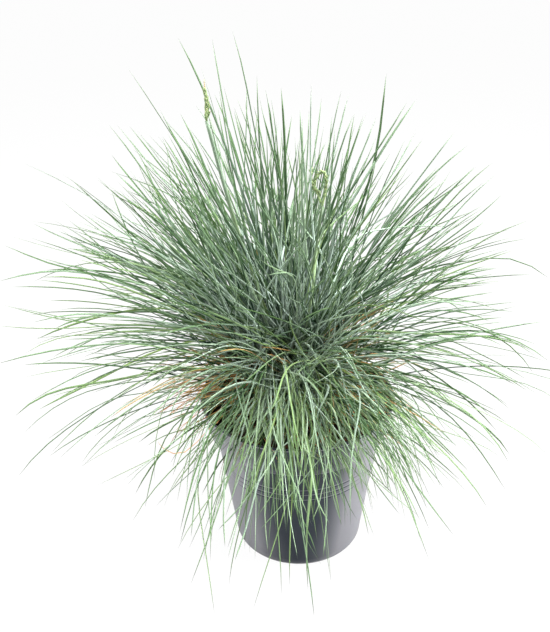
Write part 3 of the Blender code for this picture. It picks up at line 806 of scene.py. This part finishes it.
def drawnPaths(steps):
    # a smooth line from the ball through each leaf's picture spots; the first lies deeper over the crown
    rows = []
    for spots in drawnLeaves:
        spots = np.reshape(spots, (-1, 2)).astype(float)
        depth = nearSide(spots)
        depth[0] += 0.03 * np.exp(-((spots[0, 0] - 288) / 35) ** 2 - ((spots[0, 1] - 335) / 30) ** 2)
        places = spotAtDepth(np.column_stack([spots, depth]))
        root = crownCentre + unit(places[0] - crownCentre) * rootRadius
        rows.append(smoothLine(np.vstack([root, places]), steps + 1))
    return np.array(rows)


def thatchLeaves():
    # short dry leaves of past years, low all round the crown
    count = clump["thatch"]
    azimuth = between(0, 2 * np.pi, count)
    rise = np.radians(between(-12, 45, count))
    droop = droopOf(rise) * between(0.0, 0.6, count)
    start = rootsOnBall(azimuth, rise + droop / 2)
    return start, tipsBeyondBall(azimuth, rise, rise + droop / 2, between(0.02, 0.085, count)), droop


def leafWidths(count, steps):
    # narrow sheath at the root, widest at a tenth, nearly even for most of the length, then a quick taper:
    # w min(0.75 + 2.5 s, 1) (1 - s^16) (1 - s / 5)
    share = np.arange(steps) / steps
    outline = np.minimum(0.75 + 2.5 * share, 1.0) * (1 - share ** 16) * (1 - 0.20 * share)
    return between(*clump["width"], count)[:, None] * outline


def leafBends(droop, drift, steps):
    # fall = droop s^p + a wave, and turn = a steady drift + a wave, for s along the leaf
    count = len(droop)
    share = middles(steps)
    power = between(0.8, 1.7, (count, 1))
    wave = scatter(0.08, (count, 1)) * np.sin(2 * np.pi * (share * between(0.8, 1.8, (count, 1))))
    sway = scatter(0.09, (count, 1)) * np.sin(2 * np.pi * (share * 1.3 + between(0, 1, (count, 1))))
    turn = drift[:, None] * scatter(1, (count, 1)) * (share - 0.5) + sway
    return droop[:, None] * share ** power + wave, turn


def clearRim(paths):
    # lifts the path where it would pass through the pot's wall or rim
    radius = np.hypot(paths[..., 0], paths[..., 1])
    near = np.clip(1 - np.abs(radius - pot["rim"] + 0.004) / 0.035, 0, 1)
    low = np.clip(pot["height"] + clump["rimClear"] - paths[..., 2], 0, None)
    paths[..., 2] += low * np.minimum(near * 1.6, 1.0)
    return paths


def makeLeaves():
    # all leaves are worked out at once; each goes into the piece of the tuft that points most nearly its way
    names, directions, packedTips = packedTufts()
    steps = clump["steps"]
    drawn = drawnPaths(steps)
    grown = {
        "pictured": leavesTo(picturedTips(packedTips)), "packed": leavesTo(packedTips),
        "fuller": leavesTo(fullerTips()), "falling": leavesTo(fallingTips(), 0.8, 1.4),
        "shoot": shootLeaves(), "thatch": thatchLeaves(),
    }
    start, tip, droop = (np.concatenate(rows) for rows in zip(*grown.values()))
    kind = np.repeat(["drawn", *grown], [len(drawn)] + [len(rows[0]) for rows in grown.values()])
    kindWidth, drift, darkest, palest = np.array([leafKinds[name] for name in kind]).T
    bends = leafBends(droop, drift[len(drawn):], steps)
    paths = clearRim(np.concatenate([drawn, curvedPaths(start, tip, *bends)]))
    tip = paths[:, -1]
    count = len(paths)
    tall = (tip[:, 2] > clump["tallAbove"]) & np.isin(kind, ("pictured", "packed"))
    widths = leafWidths(count, steps) * kindWidth[:, None]
    widths *= np.clip(1.0 + 2.0 * tip[:, 1:2], 0.62, 1.1) * np.where(tall, clump["tallWidth"], 1)[:, None]
    twist = scatter(0.6, (count, 1)) + scatter(0.8, (count, 1)) * np.linspace(0, 1, steps)
    toTip = unit(tip - crownCentre)
    low = 1 - toTip[:, 2]
    old = between(0.2, 1.0, count)
    straw = (between(0, 1, count) > 1 - clump["strawShare"]) * (tip[:, 2] < 0.3) * 0.5
    # painted light: leaves with tips in front get a paler tone spread, and drawn and falling ones a tone
    # floor, for the shaded near side
    first, paintedLitFront, behind = clump["toneShape"]
    tone = dice.beta(first, np.where(tip[:, 1] < -0.06, paintedLitFront, behind))
    tone = np.maximum(tone, darkest * between(0.2, 0.92, count))
    green = np.where(between(0, 1, count) < 0.15 + 0.3 * low, between(0.6, 1.0, count),
                     np.clip(0.05 + scatter(0.15, count) + 0.3 * low, 0, 1))
    single = {
        "tone": np.minimum(tone * np.where(tall, clump["tallTone"], 1), palest),
        "green": green * np.where(kind == "drawn", clump["drawnGreen"], 1),
        "dry": np.where(kind == "thatch", old, straw),
    }
    nearest = (toTip @ directions.T).argmax(1)
    for index, name in enumerate(names):
        mine = nearest == index
        values = {key: numbers[mine][:, None, None] for key, numbers in single.items()}
        values |= {"along": (np.arange(steps) / steps)[:, None], "channel": leafChannel}
        part = blades(paths[mine], values, widths[mine], leafSection, twist[mine])
        meshPiece(name.replace("leaf_tuft_", "leaves"), [part], blueLeaf, "blue_leaves", name)
    print("leaves made:", count)


makeLeaves()

crown = {
    "edgeTilt": 105.0, "rings": 30, "sides": 72, "lump": 0.0011,
    "stubs": 520, "stubLength": (0.007, 0.024), "stubWidth": (0.0007, 0.0016), "stubSteps": 6,
}


def makeCrown():
    # a lumpy ball cut off on the soil, covered with short leaf bases that lean upwards
    tilt = np.radians(np.linspace(crown["edgeTilt"], 2.0, crown["rings"]))
    cut = np.cos(tilt[0]) * clump["ball"]
    ball = joined(np.sin(tilt), np.cos(tilt)) * (clump["ball"] - 0.001)
    foot = [[ball[0, 0] * 0.5, cut], [ball[0, 0] - 0.0005, cut]]
    rings = turnedRings(np.concatenate([foot, ball[1:]]), crown["sides"])
    x, y, z = np.moveaxis(rings[:, 2:], -1, 0)
    rings[:, 2:] += unit(rings[:, 2:]) * lumps(x * 1.5, y + z, crown["lump"], 9)[..., None]
    top = crownCentre + [[0, 0, clump["ball"] - 0.001]]
    # tone 0 gives the whole ball the near-black painted shade of the crown's depths
    body = tubeMesh(rings + crownCentre, crownCentre + [[0, 0, cut]], top, {"tone": 0.0, "green": 0.0})
    count, steps = crown["stubs"], crown["stubSteps"]
    azimuth = between(0, 2 * np.pi, count)
    outwards = headings(azimuth, np.arcsin(between(np.sin(np.radians(-10)), 1, count)))
    lean = unit(outwards + [0, 0, 0.55] + scatter(0.22, (count, 3)))
    start = crownCentre + outwards * rootRadius
    end = start + lean * between(*crown["stubLength"], count)[:, None]
    fall = (0.2 + scatter(0.35, (count, 1))) * middles(steps)
    paths = curvedPaths(start, end, fall, scatter(0.3, (count, 1)) * middles(steps))
    widths = between(*crown["stubWidth"], count)[:, None] * np.linspace(1.0, 0.55, steps)
    values = {"tone": between(0.3, 1, (count, 1, 1)), "green": between(0, 1, (count, 1, 1))}
    stubs = blades(paths, values, widths, roundSection(6))
    meshPiece("crownSheaths", [body, stubs], crownSheath, "crown_sheaths", "crown")


makeCrown()
print("crown made")

dry = {
    "bundles": ((190.0, 0.078), (283.0, 0.056), (325.0, 0.062)),     # azimuth, length
    "rise": -9.0, "strands": 30, "steps": 12, "width": (0.0007, 0.0015),
}


def makeDryLeaves():
    # bundles of curled dead leaves: strands fan about the bundle's own line and wave as they go
    count, steps = dry["strands"], dry["steps"]
    share = middles(steps)
    for number, (azimuth, length) in enumerate(dry["bundles"], start=1):
        turn = np.radians(azimuth) + scatter(0.20, count)
        rise = np.radians(dry["rise"]) + 0.03 + scatter(0.12, count)
        droop = droopOf(rise) * between(0.3, 1.0, count)
        start = crownCentre + headings(turn, rise + droop / 2) * rootRadius
        tip = tipsBeyondBall(turn, rise, rise + droop / 2, length * between(0.35, 1.0, count))
        wave = np.sin(2 * np.pi * (share * between(0.7, 2.0, (count, 1)) + between(0, 1, (count, 1))))
        fall = droop[:, None] * share + scatter(0.25, (count, 1)) * wave
        paths = clearRim(curvedPaths(start, tip, fall, scatter(0.5, (count, 1)) * wave))
        widths = between(*dry["width"], count)[:, None] * (1 - 0.6 * np.arange(steps) / steps)
        twist = between(0, 3, (count, 1)) + scatter(2.0, (count, 1)) * np.linspace(0, 1, steps)
        values = {"tone": between(0, 1, (count, 1, 1))}
        part = blades(paths, values, widths, leafSection * [1.0, 0.6], twist)
        meshPiece(f"dryLeaves{number}", [part], dryLeaf, "dry_leaves", f"dry_leaves_{number}")


makeDryLeaves()
print("dry leaves made")

stem = {
    "radius": 0.0010, "sheathRadius": 0.0014,
    "tip": (-0.0606, -0.050, 0.4163), "panicle": 0.0195, "tail": 0.0075, "bow": -0.004,
    "bentDepth": -0.040,                # the bent panicle is drawn through these picture spots at this depth
    "bentSpots": ((322, 206), (324.5, 197), (326, 187), (326, 178), (323.5, 173), (319.5, 174), (316, 179.5),
                  (315, 186), (318, 191)),
    "sideSpots": ((321, 203), (318, 195), (314, 186), (311.5, 179), (311, 172.5)),
    "bentShare": 0.8,                   # the bent stem's culm against the upright one's
    "spikelets": 64, "spikeletLength": 0.0052, "spikeletHalf": 0.00090, "lean": 0.36,
}


def pathTube(path, widths, **values):
    # one tube of this width at each point of a path, closed at both ends
    numbers = {key: np.broadcast_to(value, len(path))[None, :, None] for key, value in values.items()}
    return tubeMesh(sweep(path[None], widths[None], roundSection(8)), path[:1], path[-1:], numbers)


def culmPath(tip, top, bow, count):
    # from the ball straight to the top, bowed sideways by bow sin(pi s)
    azimuth, rise = bearing(tip - crownCentre)
    root = crownCentre + headings(azimuth, rise + droopOf(rise) / 2) * clump["ball"]
    share = np.linspace(0, 1, count)[:, None]
    return root + (top - root) * share + np.array([bow, 0, 0]) * np.sin(np.pi * share)


def spikeletsAlong(path, count, lengths, lean):
    # lens-shaped spikelets set spirally along a rachis, each leaning away from it: radius half sin(pi s^0.8)
    at = np.linspace(0, len(path) - 1.001, count)
    index = at.astype(int)
    base = path[index] + (path[index + 1] - path[index]) * (at - index)[:, None]
    ahead = unit(path[index + 1] - path[index])
    side = unit(np.cross(ahead, [0.3, 1.0, 0.2]))
    turn = (np.arange(count) * 2.4 + scatter(0.3, count))[:, None]
    out = np.cos(turn) * side + np.sin(turn) * np.cross(ahead, side)
    aim = unit(ahead + out * (lean * between(0.6, 1.3, count))[:, None])
    across = unit(np.cross(aim, out))
    over = np.cross(aim, across) * 0.7
    share = np.linspace(0.08, 0.92, 5)
    length = (lengths * between(0.8, 1.15, count))[:, None, None]
    axis = base[:, None] + aim[:, None] * share[:, None] * length
    half = stem["spikeletHalf"] * np.sin(np.pi * share ** 0.8)[:, None, None]
    section = roundSection(6)
    shape = across[:, None] * section[:, 0, None] + over[:, None] * section[:, 1, None]
    values = {"tone": between(0.1, 1.0, (count, 1, 1)), "sheath": 0.0, "awn": (share > 0.8)[:, None] * 0.5}
    return tubeMesh(axis[:, :, None] + half * shape[:, None], base, base + aim * length[:, 0], values)


def makeFlowerStem():
    # culm, flag sheath round its upper third, and a narrow upright panicle that ends in a thin dry tip
    tip = np.array(stem["tip"])
    neck = tip - [0, 0, stem["panicle"] + stem["tail"]]
    share = np.linspace(0, 1, 26)
    sheathed = np.clip((share - 0.35) / 0.1, 0, 1)
    widths = stem["radius"] + (stem["sheathRadius"] - stem["radius"]) * sheathed * (1.5 - 0.9 * share)
    blueness = np.clip((share - 0.5) / 0.3, 0, 0.9)
    culm = culmPath(tip, neck, stem["bow"], 26)
    line = np.linspace(0, 1, 14)[:, None]
    rachis = neck + (tip - [0, 0, stem["tail"]] - neck) * line + np.array([0.0008, 0, 0]) * np.sin(3 * line)
    count = stem["spikelets"]
    lengths = stem["spikeletLength"] * (1.25 - 0.65 * np.linspace(0, 1, count))
    tail = rachis[-1] + (tip - rachis[-1]) * np.linspace(0, 0.97, 6)[:, None]
    parts = [pathTube(culm, widths, tone=0.8 - 0.3 * share, sheath=blueness, awn=0.0),
             pathTube(rachis, np.linspace(0.0007, 0.0004, 14), tone=0.6, sheath=0.0, awn=0.0),
             spikeletsAlong(rachis, count, lengths, stem["lean"]),
             pathTube(tail, np.linspace(0.0005, 0.00025, 6), tone=1.0, sheath=0.0, awn=0.9)]
    meshPiece("flowerStem", parts, flowerStem, "flower_stem", "flower_stem")


def bentLine(spots, count):
    # smooth line through picture spots, all at the bent panicle's depth
    return smoothLine(spotAtDepth(joined(*np.transpose(spots), stem["bentDepth"])), count)


def makeBentFlowerStem():
    # shorter culm whose panicle has curled over in a loop as it came out of its sheath, with one side branch
    loop, branch = bentLine(stem["bentSpots"], 30), bentLine(stem["sideSpots"], 14)
    radius = stem["radius"] * stem["bentShare"]
    culm = culmPath(loop[0], loop[0], -stem["bow"] * 0.5, 22)
    parts = [pathTube(culm, np.full(22, radius), tone=0.1, sheath=0.4, awn=0.0)]
    for path, first, count in ((loop, 3, 46), (branch, 4, 18)):
        parts.append(pathTube(path, np.linspace(radius, 0.0004, len(path)), tone=0.9, sheath=0.0, awn=0.0))
        parts.append(spikeletsAlong(path[first:], count, np.full(count, stem["spikeletLength"] * 0.75), 0.32))
    meshPiece("flowerStemBent", parts, flowerStem, "flower_stem", "flower_stem_bent")


makeFlowerStem()
makeBentFlowerStem()
print("flower stems made")

studio = {
    "floor": 0.36, "floorHalf": 80.0, "floorGlow": 0.92, "backdrop": 1.03,
    "worldFront": 0.65, "worldLeft": 1.05, "worldRight": 1.45,
    "aim": (0, 0, 0.2),
    "lamps": {                          # power, place and size
        "keyLight": (58.0, (1.1, -0.2, 1.0), 0.6),
        "fillLight": (29.0, (-1.1, -0.1, 0.9), 0.5),
        "topLight": (54.0, (0.1, -0.1, 1.6), 0.7),
    },
}


def cameraRay(tree):
    # 1 where a thing is seen directly, 0 where it only lights others
    return tree.nodes.new("ShaderNodeLightPath").outputs["Is Camera Ray"]


def makeWorld():
    # soft white room, dimmer on the side that the pot's front faces; seen directly it is plain white, so that
    # thin leaves aren't burnt out in front of it
    world = bpy.data.worlds.new("studio")
    world.use_nodes = True
    tree = world.node_tree
    way = tree.nodes.new("ShaderNodeSeparateXYZ")
    feed(tree, way.inputs[0], tree.nodes.new("ShaderNodeTexCoord").outputs["Generated"])
    sides = band(tree, way.outputs["X"], -0.6, 0.7, studio["worldLeft"], studio["worldRight"])
    front = band(tree, way.outputs["Y"], -0.95, -0.1)
    lit = blend(tree, front, studio["worldFront"], sides, "FLOAT")
    background = tree.nodes["Background"]
    feed(tree, background.inputs["Color"], (1.0, 1.0, 1.0))
    feed(tree, background.inputs["Strength"], blend(tree, cameraRay(tree), lit, studio["backdrop"], "FLOAT"))
    bpy.context.scene.world = world


def floorMaterial():
    # matt white; seen directly, most of it glows evenly, which leaves a faint shadow and no burnt-out white
    material, tree, shader = newMaterial("paleFloor", 0.0)
    feed(tree, shader.inputs["Base Color"], (studio["floor"],) * 3)
    glow = addNode(tree, "ShaderNodeEmission", Strength=studio["backdrop"])
    mixed = tree.nodes.new("ShaderNodeMixShader")
    share = times(tree, cameraRay(tree), studio["floorGlow"])
    for socket, source in zip(mixed.inputs, (share, shader.outputs[0], glow.outputs[0])):
        feed(tree, socket, source)
    feed(tree, tree.nodes["Material Output"].inputs["Surface"], mixed.outputs[0])
    return material


def aimed(place, target):
    # matrix of a lamp at place that looks at target
    away = unit(np.array(place) - target)
    side = unit(np.cross([0, 0, 1], away) + [1e-6, 0, 0])
    return standing(place, side, np.cross(away, side), away)


def makeStudio():
    mesh = bpy.data.meshes.new("floor")
    corners = np.array([(-1, -1, 0), (1, -1, 0), (1, 1, 0), (-1, 1, 0)]) * studio["floorHalf"]
    mesh.from_pydata(corners, [], [(0, 1, 2, 3)])
    mesh.materials.append(floorMaterial())
    floor = sceneObject("floor", mesh)
    for name, (power, place, size) in studio["lamps"].items():
        light = bpy.data.lights.new(name, "AREA")
        light.size = size
        light.energy = power
        sceneObject(name, light).matrix_world = aimed(place, studio["aim"])
    bpy.context.scene.view_settings.view_transform = "Standard"


makeCamera()
makeWorld()
makeStudio()
print("studio made")

bpy.context.view_layer.update()
